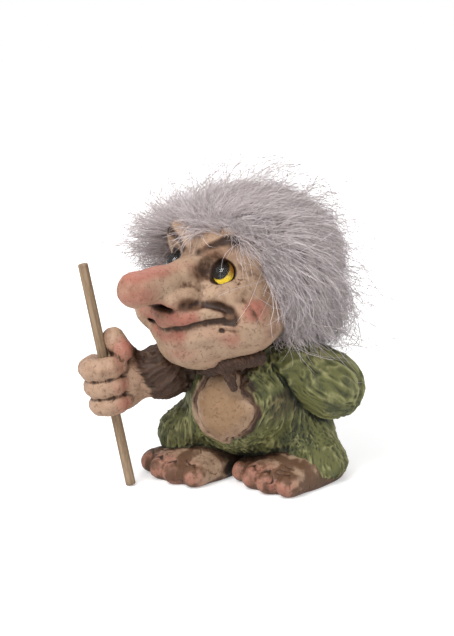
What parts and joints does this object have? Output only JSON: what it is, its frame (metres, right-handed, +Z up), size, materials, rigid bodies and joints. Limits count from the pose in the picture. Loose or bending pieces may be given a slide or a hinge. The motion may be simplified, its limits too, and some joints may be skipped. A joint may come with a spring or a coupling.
{
  "type": "troll figurine",
  "caption": "Small painted folk-tale troll figurine, striding barefoot with a long nose, glass eyes, shaggy wig hair and a wooden walking stick that slides in its fist.",
  "frame": {"origin": "on the surface the figure stands on, at the middle of the whole figure's outline", "axes": "+Z up, -Y the way the face and the feet point, +X the troll's own left"},
  "size_m": [0.092, 0.1082, 0.12],
  "materials": {
    "painted_flesh": "cast, painted cream with pink blushes and a brown antique wash",
    "painted_fur": "cast shaggy fur, painted olive green with pale dry-brushed ridges",
    "stick_wood": "plain unvarnished dowel",
    "backing_cloth": "woven wig backing",
    "eye_glass": "clear polished glass",
    "eye_paint": "amber iris and black pupil painted behind the glass",
    "eye_wire": "drawn wire",
    "hair_fibre": "lavender grey wig fibre with darker tips"
  },
  "bodies": {
    "figure": {"head": "painted_flesh", "torso": "painted_fur", "right_arm": "painted_flesh", "left_arm": "painted_fur", "right_foot": "painted_flesh", "left_foot": "painted_flesh", "wig_backing": "backing_cloth", "left_eye_glass": "eye_glass", "right_eye_glass": "eye_glass", "left_eye_iris": "eye_paint", "right_eye_iris": "eye_paint", "left_eye_shank": "eye_wire", "right_eye_shank": "eye_wire", "hair_crown": "hair_fibre", "hair_back": "hair_fibre", "hair_left": "hair_fibre", "hair_right": "hair_fibre"},
    "stick": {"walking_stick": "stick_wood"}
  },
  "joints": [
    {"name": "stick_slide", "type": "slide", "parent": "figure", "child": "stick", "axis": [-0.1552, -0.1128, 0.9814], "range_m": [0, 0.04]}
  ]
}
